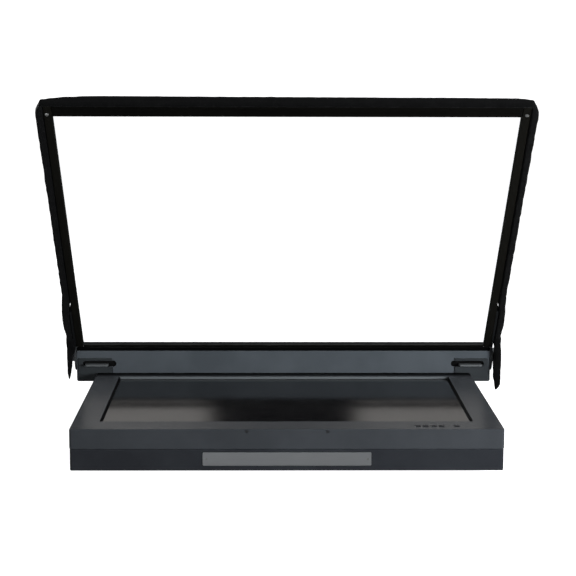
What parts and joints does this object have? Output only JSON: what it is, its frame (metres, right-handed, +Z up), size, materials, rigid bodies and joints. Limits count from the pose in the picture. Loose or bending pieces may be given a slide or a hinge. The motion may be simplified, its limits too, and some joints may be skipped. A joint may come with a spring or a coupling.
{
  "type": "teleprompter",
  "caption": "Studio teleprompter: flat monitor facing up, with a hinged beam-splitter glass frame on a rear crossbar and a mounting shoe below.",
  "frame": {"origin": "centre of the mounting shoe's underside, level with the rubber feet", "axes": "+X to the right as the presenter sees it, +Y away from the presenter towards the crossbar and camera, +Z up"},
  "size_m": [0.7056, 0.4642, 0.5315],
  "materials": {
    "housing_paint": "aluminium sheet with a fine textured black powder coat",
    "crossbar_paint": "satin blue-black paint",
    "anodised_aluminium": "black anodised",
    "zinc_steel": "zinc plated",
    "sheet_metal": "plain sheet steel",
    "black_plastic": "moulded, matt",
    "rubber": "matt",
    "foam": "closed-cell foam tape",
    "circuit_board": "solder mask",
    "screen": "anti-glare screen, switched off",
    "white_plastic": "diffuser",
    "beam_splitter": "part-mirrored beam-splitter coating",
    "black_cloth": "woven blackout cloth"
  },
  "bodies": {
    "base": {"bezel_top_shell": "housing_paint", "lower_housing": "housing_paint", "lcd_panel": "screen", "backlight_unit": "white_plastic", "panel_chassis": "sheet_metal", "controller_board": "circuit_board", "power_board": "circuit_board", "button_board": "circuit_board", "connector_plate": "sheet_metal", "hdmi_socket": "zinc_steel", "vga_socket": "zinc_steel", "bnc_socket_1": "zinc_steel", "bnc_socket_2": "zinc_steel", "dc_jack": "black_plastic", "mount_plate": "sheet_metal", "dovetail_shoe": "anodised_aluminium", "shoe_screw_1": "zinc_steel", "shoe_screw_2": "zinc_steel", "rubber_foot_front_left": "rubber", "rubber_foot_front_right": "rubber", "rubber_foot_rear_left": "rubber", "rubber_foot_rear_right": "rubber", "front_screw_left": "black_plastic", "front_screw_right": "black_plastic", "crossbar": "crossbar_paint", "light_seal_strip": "foam", "support_bracket_left": "crossbar_paint", "support_bracket_right": "crossbar_paint", "bracket_screw_1": "zinc_steel", "bracket_screw_2": "zinc_steel", "bracket_screw_3": "zinc_steel", "bracket_screw_4": "zinc_steel", "slide_guide_left": "crossbar_paint", "slide_guide_right": "crossbar_paint", "pivot_bolt_left": "zinc_steel", "pivot_bolt_right": "zinc_steel", "stop_bolt_left": "zinc_steel", "stop_bolt_right": "zinc_steel"},
    "glass": {"frame_bottom_rail": "anodised_aluminium", "frame_top_rail": "anodised_aluminium", "frame_leg_left": "anodised_aluminium", "frame_leg_right": "anodised_aluminium", "beam_splitter_glass": "beam_splitter", "glass_gasket": "rubber", "hinge_plate_left": "anodised_aluminium", "hinge_plate_right": "anodised_aluminium", "corner_screw_left": "zinc_steel", "corner_screw_right": "zinc_steel", "hood_skirt_left": "black_cloth", "hood_skirt_right": "black_cloth", "hood_skirt_top": "black_cloth"},
    "menu_button_1": {"menu_button_1": "black_plastic"},
    "menu_button_2": {"menu_button_2": "black_plastic"},
    "menu_button_3": {"menu_button_3": "black_plastic"},
    "menu_button_4": {"menu_button_4": "black_plastic"},
    "power_button": {"power_button": "black_plastic"},
    "lock_slide_left": {"lock_slide_left": "black_plastic"},
    "pivot_knob_left": {"pivot_knob_left": "zinc_steel"},
    "lock_slide_right": {"lock_slide_right": "black_plastic"},
    "pivot_knob_right": {"pivot_knob_right": "zinc_steel"}
  },
  "joints": [
    {"name": "glass_fold", "type": "hinge", "parent": "base", "child": "glass", "pos_m": [0, 0.2321, 0.0965], "axis": [1, 0, 0], "range_deg": [0, 47]},
    {"name": "menu_button_1_press", "type": "slide", "parent": "base", "child": "menu_button_1", "axis": [0, 0, -1], "range_m": [0, 0.001], "stiffness_N_per_m": 500, "springref_m": -0.0005},
    {"name": "menu_button_2_press", "type": "slide", "parent": "base", "child": "menu_button_2", "axis": [0, 0, -1], "range_m": [0, 0.001], "stiffness_N_per_m": 500, "springref_m": -0.0005},
    {"name": "menu_button_3_press", "type": "slide", "parent": "base", "child": "menu_button_3", "axis": [0, 0, -1], "range_m": [0, 0.001], "stiffness_N_per_m": 500, "springref_m": -0.0005},
    {"name": "menu_button_4_press", "type": "slide", "parent": "base", "child": "menu_button_4", "axis": [0, 0, -1], "range_m": [0, 0.001], "stiffness_N_per_m": 500, "springref_m": -0.0005},
    {"name": "power_button_press", "type": "slide", "parent": "base", "child": "power_button", "axis": [0, 0, -1], "range_m": [0, 0.001], "stiffness_N_per_m": 500, "springref_m": -0.0005},
    {"name": "lock_slide_left_draw", "type": "slide", "parent": "base", "child": "lock_slide_left", "axis": [1, 0, 0], "range_m": [0, 0.009]},
    {"name": "lock_slide_right_draw", "type": "slide", "parent": "base", "child": "lock_slide_right", "axis": [-1, 0, 0], "range_m": [0, 0.009]},
    {"name": "pivot_knob_left_turn", "type": "hinge", "parent": "base", "child": "pivot_knob_left", "pos_m": [0, 0.2321, 0.0965], "axis": [-1, 0, 0], "range_deg": [0, 270]},
    {"name": "pivot_knob_right_turn", "type": "hinge", "parent": "base", "child": "pivot_knob_right", "pos_m": [0, 0.2321, 0.0965], "axis": [1, 0, 0], "range_deg": [0, 270]}
  ]
}
